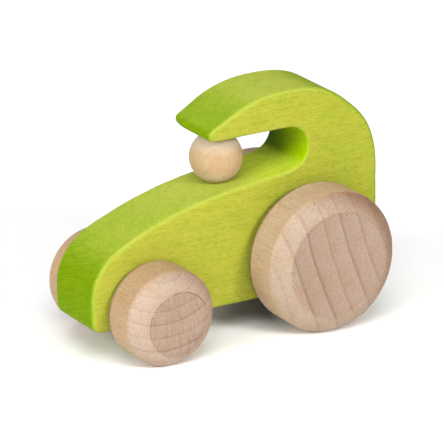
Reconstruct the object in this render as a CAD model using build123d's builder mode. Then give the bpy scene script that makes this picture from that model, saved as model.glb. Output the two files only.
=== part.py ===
"""Pull-back toy car: a stained wooden block on four turned wheels, with a spring motor in its belly.

Millimetres. +X is the car's nose, +Y its left side, +Z up. The origin is on the ground, under the
middle of the car's bounding box.
"""

import os
from math import acos, atan, cos, degrees, pi, radians, sin, sqrt, tan

from build123d import *

# ---------------------------------------------------------------- driving dimensions
# wooden block
BODY_LENGTH = 124.5
BODY_THICKNESS = 27.0
UNDERSIDE_Z = 11.7
EDGE_ROUNDING = 1.8
NOSE_CORNER = 5.0
NOSE_BULGE = 0.27
TAIL_CORNER = 6.0

# cockpit slot, open to the front
SLOT_RADIUS = 8.5
SLOT_END = (-22.6, 68.3)
HOOD_SLOPE = 0.12

# roof over the slot
ROOF_TIP_X = 12.05
ROOF_TIP_ROUNDING = 2.2
ROOF_TIP_SLOPE = 0.5
ROOF_TOP_Z = 91.2

# driver's head
BALL_RADIUS = 10.0
BALL_CENTRE = (0.75, 0, 66.0)
DOWEL_RADIUS = 3.0
DOWEL_LOW_Z = 43.0
DOWEL_HIGH_Z = 67.0
DOWEL_CHAMFER = 0.4

# wheels as (radius, inner face y, tread edge y, outer face y, radius of the flat face), measured
# from the middle of their axle; the front axle has end play, and stands a little to the right
FRONT_AXLE_X = 37.6
FRONT_WHEEL = (18.4, 15.3, 28.1, 32.7, 11.0)
REAR_AXLE_X = -31.2
REAR_WHEEL = (27.4, 16.1, 29.3, 34.9, 20.3)
BEVEL_BULGE = 1.1
CREASE_ROUNDING = 1.6
INNER_ROUNDING = 1.0
BORE_DEPTH = 11.0
FRONT_AXLE_SHIFT = -0.6

# axles
FRONT_AXLE_RADIUS = 3.0
FRONT_AXLE_CHAMFER = 0.5
REAR_AXLE_RADIUS = 1.5
REAR_AXLE_CHAMFER = 0.3
REAR_AXLE_SLOT_RADIUS = 2.0
AXLE_INSERTION = 10.6
RUNNING_CLEARANCE = 0.08

# spring motor: case
CASE_HALF_WIDTH = 10.2
CASE_WALL = 1.2
CASE_SPLIT_Y = -3.0
CASE_CORNER = 2.0
CASE_CLEARANCE = 0.3
CASE_BEHIND_AXLE = 5.6
CASE_AROUND_SPRING = 11.2
CASE_ABOVE_STEP_SHAFT = 8.1
BOSS_RADIUS = 2.1
BOSS_INSET = 3.0
EAR_REACH = 8.5
EAR_WIDTH = 9.0
EAR_Y = 2.5
EAR_LOW_Z = 13.6
EAR_HIGH_Z = 15.6
EAR_CORNER = 2.0

# spring motor: gears
MODULE = 0.5
ADDENDUM = 0.4
DEDENDUM = 0.55
TOOTH_THINNING = 0.07
PRESSURE_ANGLE = radians(20)
AXLE_TEETH = 12
STEP_WHEEL_TEETH = 24
STEP_PINION_TEETH = 10
SPRING_TEETH = 36
WINDING_TEETH = 14
SLOW_GEARS_Y = (-0.2, 1.8)
FAST_GEARS_Y = (3.0, 5.5)
AXLE_HUB_RADIUS = 2.4
STEP_HUB_RADIUS = 1.5
SPRING_HUB_RADIUS = 1.8
WINDING_HUB_RADIUS = 1.4
HUB_END_Y = 8.8
TOOTH_ROOT_OVERLAP = 0.1
SPRING_SHAFT_FROM_AXLE = (16.4, -4.2)
SWING_DISENGAGED = 13.6

# spring motor: shafts, spring and screws, with screw heads as (radius, height)
SPRING_SHAFT_RADIUS = 0.8
GEAR_SHAFT_RADIUS = 0.6
SHAFT_CHAMFER = 0.15
DRUM_RADIUS = 8.7
DRUM_WALL = 0.9
DRUM_RIM_Y = -0.8
ARBOR_RADIUS = 2.2
STRIP_THICKNESS = 0.3
STRIP_Y = (-7.8, -1.4)
SPRING_TURNS = 7
SPRING_RADII = (2.5, 8.2)
CASE_SCREW_RADIUS = 0.7
CASE_SCREW_HEAD = (1.4, 1.0)
CASE_SCREW_TIP_Y = -7.5
CASE_SCREW_CLEARANCE = 0.1
CASE_SCREW_DRIVE_DEPTH = 0.5
MOTOR_SCREW_RADIUS = 1.0
MOTOR_SCREW_HEAD = (2.3, 1.4)
MOTOR_SCREW_HEAD_ROUNDING = 0.6
MOTOR_SCREW_TIP_Z = 24.0
MOTOR_SCREW_CLEARANCE = 0.2
MOTOR_SCREW_DRIVE = (3.0, 0.8)
DRIVE_SLOT_WIDTH = 0.5

# ---------------------------------------------------------------- derived places
NOSE_X = BODY_LENGTH / 2
SLOT_ROOF_Z = SLOT_END[1] + SLOT_RADIUS
CASE_INNER_Y = CASE_HALF_WIDTH - CASE_WALL
FULL_HUB_Y = (-HUB_END_Y, HUB_END_Y)
BELOW = UNDERSIDE_Z - 5.0


def pitch_radius(teeth):
    return MODULE * teeth / 2


def third_corner(first, second, to_first, to_second, side):
    """The point at two given distances from two points, left (+1) or right (-1) of first to second."""
    base = second - first
    along = (to_first**2 - to_second**2 + base.length**2) / (2 * base.length)
    across = sqrt(to_first**2 - along**2) * side
    unit = base / base.length
    return first + unit * along + Vector(-unit.Y, unit.X) * across


# shafts as (x, z), seen from the car's right side
REAR_AXLE = Vector(REAR_AXLE_X, REAR_WHEEL[0])
FRONT_AXLE = Vector(FRONT_AXLE_X, FRONT_WHEEL[0])
SPRING_SHAFT = REAR_AXLE + Vector(*SPRING_SHAFT_FROM_AXLE)
STEP_SHAFT = third_corner(
    REAR_AXLE,
    SPRING_SHAFT,
    pitch_radius(AXLE_TEETH + STEP_WHEEL_TEETH),
    pitch_radius(STEP_PINION_TEETH + SPRING_TEETH),
    1,
)
SWING_RADIUS = pitch_radius(AXLE_TEETH + WINDING_TEETH)
SWING_ENGAGED = pitch_radius(SPRING_TEETH + WINDING_TEETH)
WINDING_SHAFT = third_corner(REAR_AXLE, SPRING_SHAFT, SWING_RADIUS, SWING_DISENGAGED, -1)
WINDING_STOP = third_corner(REAR_AXLE, SPRING_SHAFT, SWING_RADIUS, SWING_ENGAGED, -1)

CASE_BACK_X = REAR_AXLE.X - CASE_BEHIND_AXLE
CASE_FRONT_X = SPRING_SHAFT.X + CASE_AROUND_SPRING
CASE_LOW_Z = SPRING_SHAFT.Y - CASE_AROUND_SPRING
CASE_HIGH_Z = STEP_SHAFT.Y + CASE_ABOVE_STEP_SHAFT
CASE_MIDDLE = Vector((CASE_BACK_X + CASE_FRONT_X) / 2, (CASE_LOW_Z + CASE_HIGH_Z) / 2)
CASE_SIZE = Vector(CASE_FRONT_X - CASE_BACK_X, CASE_HIGH_Z - CASE_LOW_Z)
BOSSES = [
    (CASE_BACK_X + BOSS_INSET, CASE_HIGH_Z - BOSS_INSET),
    (CASE_FRONT_X - BOSS_INSET, CASE_HIGH_Z - BOSS_INSET),
    (CASE_BACK_X + BOSS_INSET, CASE_LOW_Z + BOSS_INSET),
]
MOTOR_SCREWS = [(CASE_BACK_X - EAR_REACH / 2, EAR_Y), (CASE_FRONT_X + EAR_REACH / 2, EAR_Y)]

os.makedirs("parts", exist_ok=True)


def side_plane(y, centre=(0, 0)):
    """A plane facing the car's right side, with its local axes along +X and +Z."""
    return Plane(origin=(centre[0], y, centre[1]), x_dir=(1, 0, 0), z_dir=(0, -1, 0))


def save(part, name):
    part.label = name
    export_step(part, f"parts/{name}.step")


# ---------------------------------------------------------------- wooden block
hood_angle = atan(HOOD_SLOPE)
tip_angle = atan(ROOF_TIP_SLOPE)
nose_low = (NOSE_X - NOSE_BULGE, 20.0)
front_corner = (nose_low[0], UNDERSIDE_Z)
tail_corner = (-NOSE_X, UNDERSIDE_Z)
slot_low = (
    SLOT_END[0] - SLOT_RADIUS * sin(hood_angle),
    SLOT_END[1] - SLOT_RADIUS * cos(hood_angle),
)
tip_centre = (ROOF_TIP_X - ROOF_TIP_ROUNDING, SLOT_ROOF_Z + ROOF_TIP_ROUNDING)
roof_low = (
    tip_centre[0] + ROOF_TIP_ROUNDING * sin(tip_angle),
    tip_centre[1] + ROOF_TIP_ROUNDING * cos(tip_angle),
)
hood_points = [
    nose_low,
    (61.5, 29.0),
    (54.3, 40.1),
    (43.2, 46.1),
    (26.0, 52.2),
    (4.3, 56.7),
    slot_low,
]
roof_points = [
    roof_low,
    (-6.0, 88.9),
    (-24.0, ROOF_TOP_Z),
    (-40.0, 88.4),
    (-50.0, 81.6),
    (-57.6, 73.3),
    (-61.4, 63.0),
    (-NOSE_X, 50.0),
]

with BuildPart() as car_body:
    with BuildSketch(side_plane(BODY_THICKNESS / 2)) as block_outline:
        with BuildLine():
            hood = Spline(*hood_points)
            slot_end = ThreePointArc(
                hood @ 1,
                (SLOT_END[0] - SLOT_RADIUS, SLOT_END[1]),
                (SLOT_END[0], SLOT_ROOF_Z),
            )
            slot_roof = Line(slot_end @ 1, (tip_centre[0], SLOT_ROOF_Z))
            ThreePointArc(slot_roof @ 1, (ROOF_TIP_X, tip_centre[1]), roof_low)
            roof = Spline(*roof_points, tangents=[(-1, ROOF_TIP_SLOPE), (0, -1)])
            Polyline(roof @ 1, tail_corner, front_corner, hood @ 0)
        make_face()
        fillet(block_outline.vertices().sort_by_distance(front_corner)[0], NOSE_CORNER)
        fillet(block_outline.vertices().sort_by_distance(tail_corner)[0], TAIL_CORNER)
    extrude(amount=BODY_THICKNESS)
    sides = car_body.faces().filter_by(Axis.Y)
    fillet(sides.edges(), EDGE_ROUNDING)

    # motor pocket, open below
    with BuildSketch(side_plane(CASE_HALF_WIDTH + CASE_CLEARANCE)) as pocket_outline:
        with BuildLine():
            Polyline(
                (CASE_BACK_X - CASE_CLEARANCE, BELOW),
                (CASE_BACK_X - CASE_CLEARANCE, CASE_HIGH_Z + CASE_CLEARANCE),
                (CASE_FRONT_X + CASE_CLEARANCE, CASE_HIGH_Z + CASE_CLEARANCE),
                (CASE_FRONT_X + CASE_CLEARANCE, BELOW),
                close=True,
            )
        make_face()
        fillet(pocket_outline.vertices().group_by(Axis.Y)[-1], CASE_CORNER + CASE_CLEARANCE)
    extrude(amount=2 * (CASE_HALF_WIDTH + CASE_CLEARANCE), mode=Mode.SUBTRACT)

    # recesses for the motor's two ears
    with BuildSketch(Plane.XY.offset(EAR_HIGH_Z)):
        with Locations((CASE_MIDDLE.X, EAR_Y)):
            Rectangle(
                CASE_SIZE.X + 2 * (EAR_REACH + CASE_CLEARANCE),
                EAR_WIDTH + 2 * CASE_CLEARANCE,
            )
    extrude(amount=BELOW - EAR_HIGH_Z, mode=Mode.SUBTRACT)

    # slots that let the rear axle in from below
    with BuildSketch(side_plane(BODY_THICKNESS, (REAR_AXLE.X, REAR_AXLE.Y))):
        Circle(REAR_AXLE_SLOT_RADIUS)
        with Locations((0, (BELOW - REAR_AXLE.Y) / 2)):
            Rectangle(2 * REAR_AXLE_SLOT_RADIUS, REAR_AXLE.Y - BELOW)
    extrude(amount=2 * BODY_THICKNESS, mode=Mode.SUBTRACT)

    # bore for the front axle
    with BuildSketch(side_plane(BODY_THICKNESS, (FRONT_AXLE.X, FRONT_AXLE.Y))):
        Circle(FRONT_AXLE_RADIUS + RUNNING_CLEARANCE)
    extrude(amount=2 * BODY_THICKNESS, mode=Mode.SUBTRACT)

    # hole for the driver's dowel
    with BuildSketch(Plane.XY.offset(DOWEL_LOW_Z)):
        with Locations((BALL_CENTRE[0], 0)):
            Circle(DOWEL_RADIUS)
    extrude(amount=BALL_CENTRE[2] - DOWEL_LOW_Z, mode=Mode.SUBTRACT)

    # pilot holes for the motor's screws
    with BuildSketch(Plane.XY.offset(EAR_LOW_Z)):
        with Locations(*MOTOR_SCREWS):
            Circle(MOTOR_SCREW_RADIUS)
    extrude(amount=MOTOR_SCREW_TIP_Z - EAR_LOW_Z, mode=Mode.SUBTRACT)
save(car_body.part, "car_body")

# ---------------------------------------------------------------- driver's head and its dowel
with BuildPart() as driver_head:
    with Locations(BALL_CENTRE):
        Sphere(BALL_RADIUS)
    add(car_body.part, mode=Mode.SUBTRACT)
    with BuildSketch(Plane.XY.offset(DOWEL_LOW_Z)):
        with Locations((BALL_CENTRE[0], 0)):
            Circle(DOWEL_RADIUS)
    extrude(amount=DOWEL_HIGH_Z - DOWEL_LOW_Z, mode=Mode.SUBTRACT)
save(driver_head.part, "driver_head")

with BuildPart() as head_dowel:
    with BuildSketch(Plane.XY.offset(DOWEL_LOW_Z)):
        with Locations((BALL_CENTRE[0], 0)):
            Circle(DOWEL_RADIUS)
    extrude(amount=DOWEL_HIGH_Z - DOWEL_LOW_Z)
    chamfer(head_dowel.edges().filter_by(GeomType.CIRCLE), DOWEL_CHAMFER)
save(head_dowel.part, "head_dowel")


# ---------------------------------------------------------------- wheels and axles
def make_wheel(name, axle, sizes, bore_radius, side, shift=0):
    """A turned wheel with a bulged bevel and a blind bore, on the left (+1) or right (-1).

    shift is where the middle of its axle is along y.
    """
    radius, inner, tread_edge, outer, flat_radius = sizes
    bevel = Vector(tread_edge, radius) - Vector(outer, flat_radius)
    outwards = Vector(bevel.Y, -bevel.X) / bevel.length
    bevel_middle = Vector(outer, flat_radius) + bevel / 2 + outwards * BEVEL_BULGE
    plane = Plane(origin=(axle.X, shift, axle.Y), x_dir=(0, side, 0), z_dir=(side, 0, 0))
    with BuildPart() as wheel:
        with BuildSketch(plane) as profile:
            with BuildLine():
                Polyline(
                    (outer, flat_radius),
                    (outer, 0),
                    (inner + BORE_DEPTH, 0),
                    (inner + BORE_DEPTH, bore_radius),
                    (inner, bore_radius),
                    (inner, radius),
                    (tread_edge, radius),
                )
                ThreePointArc((tread_edge, radius), bevel_middle, (outer, flat_radius))
            make_face()
            fillet(profile.vertices().sort_by_distance((tread_edge, radius))[0], CREASE_ROUNDING)
            fillet(profile.vertices().sort_by_distance((outer, flat_radius))[0], CREASE_ROUNDING)
            fillet(profile.vertices().sort_by_distance((inner, radius))[0], INNER_ROUNDING)
        revolve(axis=Axis((axle.X, 0, axle.Y), (0, side, 0)))
    save(wheel.part, name)


def make_axle(name, axle, radius, half_length, end_chamfer, shift=0):
    with BuildPart() as shaft:
        with BuildSketch(side_plane(half_length + shift, (axle.X, axle.Y))):
            Circle(radius)
        extrude(amount=2 * half_length)
        chamfer(shaft.edges().filter_by(GeomType.CIRCLE), end_chamfer)
    save(shaft.part, name)


for side, side_name in ((1, "left"), (-1, "right")):
    make_wheel(
        f"front_wheel_{side_name}",
        FRONT_AXLE,
        FRONT_WHEEL,
        FRONT_AXLE_RADIUS,
        side,
        FRONT_AXLE_SHIFT,
    )
    make_wheel(f"rear_wheel_{side_name}", REAR_AXLE, REAR_WHEEL, REAR_AXLE_RADIUS, side)
make_axle(
    "front_axle",
    FRONT_AXLE,
    FRONT_AXLE_RADIUS,
    FRONT_WHEEL[1] + AXLE_INSERTION,
    FRONT_AXLE_CHAMFER,
    FRONT_AXLE_SHIFT,
)
make_axle(
    "rear_axle",
    REAR_AXLE,
    REAR_AXLE_RADIUS,
    REAR_WHEEL[1] + AXLE_INSERTION,
    REAR_AXLE_CHAMFER,
)


# ---------------------------------------------------------------- motor gears
def gear_plane(centre, y):
    return side_plane(y, (centre.X, centre.Y))


def direction(start, end):
    """The angle of the line from one shaft to another, from +X towards +Z."""
    return radians((end - start).get_signed_angle(Vector(1, 0, 0), Vector(0, 0, -1)))


def meshing_phase(phase, teeth, start, end, other_teeth):
    """The angle of a tooth on the gear at end that meshes with the gear at start."""
    towards = direction(start, end)
    pitch = pi * MODULE
    slip = pitch / 2 - (phase - towards) * pitch_radius(teeth)
    return towards + pi + slip / pitch_radius(other_teeth)


def tooth_half_angle(teeth, radius):
    """Half the angle that a tooth takes at this radius, on an involute flank."""
    pitch = pitch_radius(teeth)
    base_angle = acos(min(1, pitch * cos(PRESSURE_ANGLE) / radius))
    widening = tan(PRESSURE_ANGLE) - PRESSURE_ANGLE - (tan(base_angle) - base_angle)
    return pi / (2 * teeth) - TOOTH_THINNING / (2 * pitch) + widening


def toothed_disc(plane, teeth, phase, thickness):
    """Adds a gear's disc and teeth to the part being built."""
    pitch = pitch_radius(teeth)
    root = pitch - DEDENDUM
    tip = pitch + ADDENDUM
    flank_start = max(root, pitch * cos(PRESSURE_ANGLE))

    def flank(radius, side, at=None):
        angle = side * tooth_half_angle(teeth, at or radius)
        return (radius * cos(angle), radius * sin(angle))

    with BuildSketch(mode=Mode.PRIVATE) as tooth:
        with BuildLine():
            lower = ThreePointArc(
                flank(flank_start, -1),
                flank((flank_start + tip) / 2, -1),
                flank(tip, -1),
            )
            upper = ThreePointArc(
                flank(tip, 1),
                flank((flank_start + tip) / 2, 1),
                flank(flank_start, 1),
            )
            Line(lower @ 1, upper @ 0)
            Polyline(
                upper @ 1,
                flank(root - TOOTH_ROOT_OVERLAP, 1, flank_start),
                flank(root - TOOTH_ROOT_OVERLAP, -1, flank_start),
                lower @ 0,
            )
        make_face()
    with BuildSketch(plane) as outline:
        Circle(root)
        with PolarLocations(0, teeth, start_angle=degrees(phase)):
            add(tooth.sketch)
    extrude(outline.sketch, amount=thickness)


def round_stretch(centre, y_range, radius, mode=Mode.ADD):
    """Adds a hub to the part being built, or cuts a bore from it."""
    with BuildSketch(side_plane(y_range[1], (centre.X, centre.Y))) as outline:
        Circle(radius)
    extrude(outline.sketch, amount=y_range[1] - y_range[0], mode=mode)


AXLE_PHASE = direction(REAR_AXLE, STEP_SHAFT)
STEP_WHEEL_PHASE = meshing_phase(
    AXLE_PHASE, AXLE_TEETH, REAR_AXLE, STEP_SHAFT, STEP_WHEEL_TEETH
)
WINDING_PHASE = meshing_phase(
    AXLE_PHASE, AXLE_TEETH, REAR_AXLE, WINDING_SHAFT, WINDING_TEETH
)
STEP_PINION_PHASE = STEP_WHEEL_PHASE
SPRING_PHASE = meshing_phase(
    STEP_PINION_PHASE, STEP_PINION_TEETH, STEP_SHAFT, SPRING_SHAFT, SPRING_TEETH
)


with BuildPart() as axle_gear:
    toothed_disc(
        gear_plane(REAR_AXLE, FAST_GEARS_Y[1]),
        AXLE_TEETH,
        AXLE_PHASE,
        FAST_GEARS_Y[1] - SLOW_GEARS_Y[0],
    )
    round_stretch(REAR_AXLE, FULL_HUB_Y, AXLE_HUB_RADIUS)
    round_stretch(REAR_AXLE, FULL_HUB_Y, REAR_AXLE_RADIUS, Mode.SUBTRACT)
save(axle_gear.part, "axle_gear")

with BuildPart() as step_up_gear:
    toothed_disc(
        gear_plane(STEP_SHAFT, FAST_GEARS_Y[1]),
        STEP_WHEEL_TEETH,
        STEP_WHEEL_PHASE,
        FAST_GEARS_Y[1] - FAST_GEARS_Y[0],
    )
    toothed_disc(
        gear_plane(STEP_SHAFT, FAST_GEARS_Y[0]),
        STEP_PINION_TEETH,
        STEP_PINION_PHASE,
        FAST_GEARS_Y[0] - SLOW_GEARS_Y[0],
    )
    round_stretch(STEP_SHAFT, FULL_HUB_Y, STEP_HUB_RADIUS)
    round_stretch(STEP_SHAFT, FULL_HUB_Y, GEAR_SHAFT_RADIUS + RUNNING_CLEARANCE, Mode.SUBTRACT)
save(step_up_gear.part, "step_up_gear")

with BuildPart() as spring_gear:
    toothed_disc(
        gear_plane(SPRING_SHAFT, SLOW_GEARS_Y[1]),
        SPRING_TEETH,
        SPRING_PHASE,
        SLOW_GEARS_Y[1] - SLOW_GEARS_Y[0],
    )
    round_stretch(SPRING_SHAFT, (-HUB_END_Y, 0), ARBOR_RADIUS)
    round_stretch(SPRING_SHAFT, (0, HUB_END_Y), SPRING_HUB_RADIUS)
    round_stretch(SPRING_SHAFT, FULL_HUB_Y, SPRING_SHAFT_RADIUS + RUNNING_CLEARANCE, Mode.SUBTRACT)
save(spring_gear.part, "spring_gear")

with BuildPart() as winding_gear:
    toothed_disc(
        gear_plane(WINDING_SHAFT, SLOW_GEARS_Y[1]),
        WINDING_TEETH,
        WINDING_PHASE,
        SLOW_GEARS_Y[1] - SLOW_GEARS_Y[0],
    )
    round_stretch(WINDING_SHAFT, FULL_HUB_Y, WINDING_HUB_RADIUS)
    round_stretch(WINDING_SHAFT, FULL_HUB_Y, GEAR_SHAFT_RADIUS + RUNNING_CLEARANCE, Mode.SUBTRACT)
save(winding_gear.part, "winding_gear")

make_axle("spring_shaft", SPRING_SHAFT, SPRING_SHAFT_RADIUS, CASE_HALF_WIDTH, SHAFT_CHAMFER)
make_axle("step_up_shaft", STEP_SHAFT, GEAR_SHAFT_RADIUS, CASE_HALF_WIDTH, SHAFT_CHAMFER)
make_axle("winding_gear_pin", WINDING_SHAFT, GEAR_SHAFT_RADIUS, CASE_HALF_WIDTH, SHAFT_CHAMFER)


# ---------------------------------------------------------------- mainspring
def spiral(offset):
    """Points along the spring strip, offset from its middle."""
    steps = 12 * SPRING_TURNS
    points = []
    for step in range(steps + 1):
        share = step / steps
        angle = 2 * pi * SPRING_TURNS * share
        radius = SPRING_RADII[0] + (SPRING_RADII[1] - SPRING_RADII[0]) * share + offset
        points.append((radius * cos(angle), radius * sin(angle)))
    return points


with BuildPart() as mainspring:
    with BuildSketch(side_plane(STRIP_Y[1], (SPRING_SHAFT.X, SPRING_SHAFT.Y))):
        with BuildLine():
            inside = Spline(*spiral(-STRIP_THICKNESS / 2))
            outside = Spline(*spiral(STRIP_THICKNESS / 2))
            Line(inside @ 0, outside @ 0)
            Line(inside @ 1, outside @ 1)
        make_face()
    extrude(amount=STRIP_Y[1] - STRIP_Y[0])
save(mainspring.part, "mainspring")


# ---------------------------------------------------------------- motor case
def case_shell(outer_y, inner_y):
    """One half of the case: a side wall at outer_y and a rim that runs to the split."""
    with BuildSketch(side_plane(max(outer_y, CASE_SPLIT_Y), (CASE_MIDDLE.X, CASE_MIDDLE.Y))) as outside:
        RectangleRounded(CASE_SIZE.X, CASE_SIZE.Y, CASE_CORNER)
    extrude(outside.sketch, amount=abs(outer_y - CASE_SPLIT_Y))
    depth = abs(inner_y - CASE_SPLIT_Y)
    with BuildSketch(side_plane(max(inner_y, CASE_SPLIT_Y), (CASE_MIDDLE.X, CASE_MIDDLE.Y))) as inside:
        RectangleRounded(
            CASE_SIZE.X - 2 * CASE_WALL,
            CASE_SIZE.Y - 2 * CASE_WALL,
            CASE_CORNER - CASE_WALL,
        )
    extrude(inside.sketch, amount=depth, mode=Mode.SUBTRACT)
    with BuildSketch(side_plane(max(inner_y, CASE_SPLIT_Y))) as bosses:
        with Locations(*BOSSES):
            Circle(BOSS_RADIUS)
    extrude(bosses.sketch, amount=depth)


def case_holes():
    """The holes that both halves have for the shafts, and the slot that the winding gear swings in."""
    through = (-BODY_THICKNESS, BODY_THICKNESS)
    round_stretch(REAR_AXLE, through, REAR_AXLE_RADIUS + RUNNING_CLEARANCE, Mode.SUBTRACT)
    round_stretch(SPRING_SHAFT, through, SPRING_SHAFT_RADIUS, Mode.SUBTRACT)
    round_stretch(STEP_SHAFT, through, GEAR_SHAFT_RADIUS, Mode.SUBTRACT)
    swing = WINDING_STOP - WINDING_SHAFT
    middle = (WINDING_SHAFT + WINDING_STOP) / 2
    with BuildSketch(side_plane(BODY_THICKNESS)) as swing_slot:
        with Locations((middle.X, middle.Y)):
            SlotCenterToCenter(
                swing.length,
                2 * GEAR_SHAFT_RADIUS,
                rotation=degrees(direction(WINDING_SHAFT, WINDING_STOP)),
            )
    extrude(swing_slot.sketch, amount=2 * BODY_THICKNESS, mode=Mode.SUBTRACT)


def screw_holes(y_range, radius):
    with BuildSketch(side_plane(y_range[1])) as holes:
        with Locations(*BOSSES):
            Circle(radius)
    extrude(holes.sketch, amount=y_range[1] - y_range[0], mode=Mode.SUBTRACT)


head_radius, head_height = CASE_SCREW_HEAD
with BuildPart() as motor_case_left:
    case_shell(CASE_HALF_WIDTH, CASE_INNER_Y)
    for reach in (CASE_BACK_X - EAR_REACH / 2, CASE_FRONT_X + EAR_REACH / 2):
        with BuildSketch(Plane.XY.offset(EAR_LOW_Z)):
            with Locations((reach, EAR_Y)):
                Rectangle(EAR_REACH, EAR_WIDTH)
        extrude(amount=EAR_HIGH_Z - EAR_LOW_Z)
    upright = motor_case_left.edges().filter_by(Axis.Z)
    outer_ends = upright.group_by(Axis.X)[0] + upright.group_by(Axis.X)[-1]
    fillet(outer_ends, EAR_CORNER)
    with BuildSketch(Plane.XY.offset(EAR_LOW_Z)):
        with Locations(*MOTOR_SCREWS):
            Circle(MOTOR_SCREW_RADIUS + MOTOR_SCREW_CLEARANCE)
    extrude(amount=EAR_HIGH_Z - EAR_LOW_Z, mode=Mode.SUBTRACT)
    case_holes()
    screw_holes((CASE_SPLIT_Y, CASE_HALF_WIDTH), CASE_SCREW_RADIUS + CASE_SCREW_CLEARANCE)
    screw_holes((CASE_HALF_WIDTH - head_height, CASE_HALF_WIDTH), head_radius + CASE_SCREW_CLEARANCE)
save(motor_case_left.part, "motor_case_left")

with BuildPart() as motor_case_right:
    case_shell(-CASE_HALF_WIDTH, -CASE_INNER_Y)
    round_stretch(SPRING_SHAFT, (-CASE_INNER_Y, DRUM_RIM_Y), DRUM_RADIUS + DRUM_WALL)
    round_stretch(SPRING_SHAFT, (-CASE_INNER_Y, DRUM_RIM_Y), DRUM_RADIUS, Mode.SUBTRACT)
    case_holes()
    screw_holes((CASE_SCREW_TIP_Y, CASE_SPLIT_Y), CASE_SCREW_RADIUS)
save(motor_case_right.part, "motor_case_right")

# ---------------------------------------------------------------- screws
with BuildPart() as case_screws:
    with BuildSketch(side_plane(CASE_HALF_WIDTH)):
        with Locations(*BOSSES):
            Circle(head_radius)
    extrude(amount=head_height)
    with BuildSketch(side_plane(CASE_HALF_WIDTH)):
        with Locations(*BOSSES):
            Circle(CASE_SCREW_RADIUS)
    extrude(amount=CASE_HALF_WIDTH - CASE_SCREW_TIP_Y)
    with BuildSketch(side_plane(CASE_HALF_WIDTH)):
        with Locations(*BOSSES):
            Rectangle(2 * head_radius, DRIVE_SLOT_WIDTH)
            Rectangle(DRIVE_SLOT_WIDTH, 2 * head_radius)
    extrude(amount=CASE_SCREW_DRIVE_DEPTH, mode=Mode.SUBTRACT)
save(case_screws.part, "case_screws")

head_radius, head_height = MOTOR_SCREW_HEAD
drive_length, drive_depth = MOTOR_SCREW_DRIVE
with BuildPart() as motor_screws:
    with BuildSketch(Plane.XY.offset(EAR_LOW_Z)):
        with Locations(*MOTOR_SCREWS):
            Circle(head_radius)
    extrude(amount=-head_height)
    fillet(motor_screws.edges().group_by(Axis.Z)[0], MOTOR_SCREW_HEAD_ROUNDING)
    with BuildSketch(Plane.XY.offset(EAR_LOW_Z - head_height)):
        with Locations(*MOTOR_SCREWS):
            Rectangle(drive_length, DRIVE_SLOT_WIDTH)
            Rectangle(DRIVE_SLOT_WIDTH, drive_length)
    extrude(amount=drive_depth, mode=Mode.SUBTRACT)
    with BuildSketch(Plane.XY.offset(EAR_LOW_Z)):
        with Locations(*MOTOR_SCREWS):
            Circle(MOTOR_SCREW_RADIUS)
    extrude(amount=MOTOR_SCREW_TIP_Z - EAR_LOW_Z)
save(motor_screws.part, "motor_screws")
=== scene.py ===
"""Looks of the pull-back car: the stained plank, the turned wheels, the driver's head and the motor."""

import math

import bmesh
import bpy
import numpy as np
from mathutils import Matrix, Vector, geometry, noise


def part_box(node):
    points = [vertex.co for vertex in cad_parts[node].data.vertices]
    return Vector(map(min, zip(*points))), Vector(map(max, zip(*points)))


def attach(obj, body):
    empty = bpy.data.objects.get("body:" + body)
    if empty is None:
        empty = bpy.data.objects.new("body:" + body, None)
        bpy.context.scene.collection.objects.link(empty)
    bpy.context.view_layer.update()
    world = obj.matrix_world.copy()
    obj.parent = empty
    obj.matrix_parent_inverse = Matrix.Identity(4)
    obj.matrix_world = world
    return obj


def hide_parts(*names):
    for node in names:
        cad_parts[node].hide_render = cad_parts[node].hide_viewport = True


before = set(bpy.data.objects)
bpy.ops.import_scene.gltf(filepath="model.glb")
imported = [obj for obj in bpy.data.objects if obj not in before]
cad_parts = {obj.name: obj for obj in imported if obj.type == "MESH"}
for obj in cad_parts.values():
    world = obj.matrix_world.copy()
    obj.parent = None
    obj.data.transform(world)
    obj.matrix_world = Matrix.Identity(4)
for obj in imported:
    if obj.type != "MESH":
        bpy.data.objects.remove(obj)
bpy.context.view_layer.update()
MM = 0.001


# ---------------------------------------------------------------- camera
# the photograph's viewing angle, from the car's front left
CAMERA_PLACE = Vector((0.78566, 1.26625, 0.58266))
CAMERA_AZIMUTH = math.radians(58.12)
CAMERA_ELEVATION = math.radians(20.01)
CAMERA_LENS = 346.1


def make_camera():
    data = bpy.data.cameras.new("camera")
    data.sensor_width = 36.0
    data.lens = CAMERA_LENS
    camera = bpy.data.objects.new("camera", data)
    camera.location = CAMERA_PLACE
    backward = Vector((
        math.cos(CAMERA_ELEVATION) * math.cos(CAMERA_AZIMUTH),
        math.cos(CAMERA_ELEVATION) * math.sin(CAMERA_AZIMUTH),
        math.sin(CAMERA_ELEVATION),
    ))
    camera.rotation_euler = backward.to_track_quat("Z", "Y").to_euler()
    bpy.context.scene.collection.objects.link(camera)
    bpy.context.scene.camera = camera


make_camera()


# ---------------------------------------------------------------- mesh helpers
SHARP_ANGLE = math.radians(35)


def new_piece(name, bm, body, replaced):
    """Makes an object from bm, rides it on its body and lets it stand for a CAD node."""
    bmesh.ops.recalc_face_normals(bm, faces=bm.faces)
    mesh = bpy.data.meshes.new(name)
    bm.to_mesh(mesh)
    bm.free()
    piece = bpy.data.objects.new(name, mesh)
    bpy.context.scene.collection.objects.link(piece)
    shade(piece)
    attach(piece, body)
    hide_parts(replaced)
    return piece


def shade(piece):
    """Shades a piece smooth, apart from its sharp edges."""
    mesh = piece.data
    mesh.polygons.foreach_set("use_smooth", [True] * len(mesh.polygons))
    mesh.set_sharp_from_angle(angle=SHARP_ANGLE)


def node_centre(name):
    low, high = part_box(name)
    return (Vector(low) + Vector(high)) / 2


def soften(points, passes):
    """Rounds the corners of an evenly spaced run of points, and keeps its ends."""
    run = np.array(points, float)
    for _ in range(passes):
        run[1:-1] = (run[:-2] + 2 * run[1:-1] + run[2:]) / 4
    return run


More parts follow.
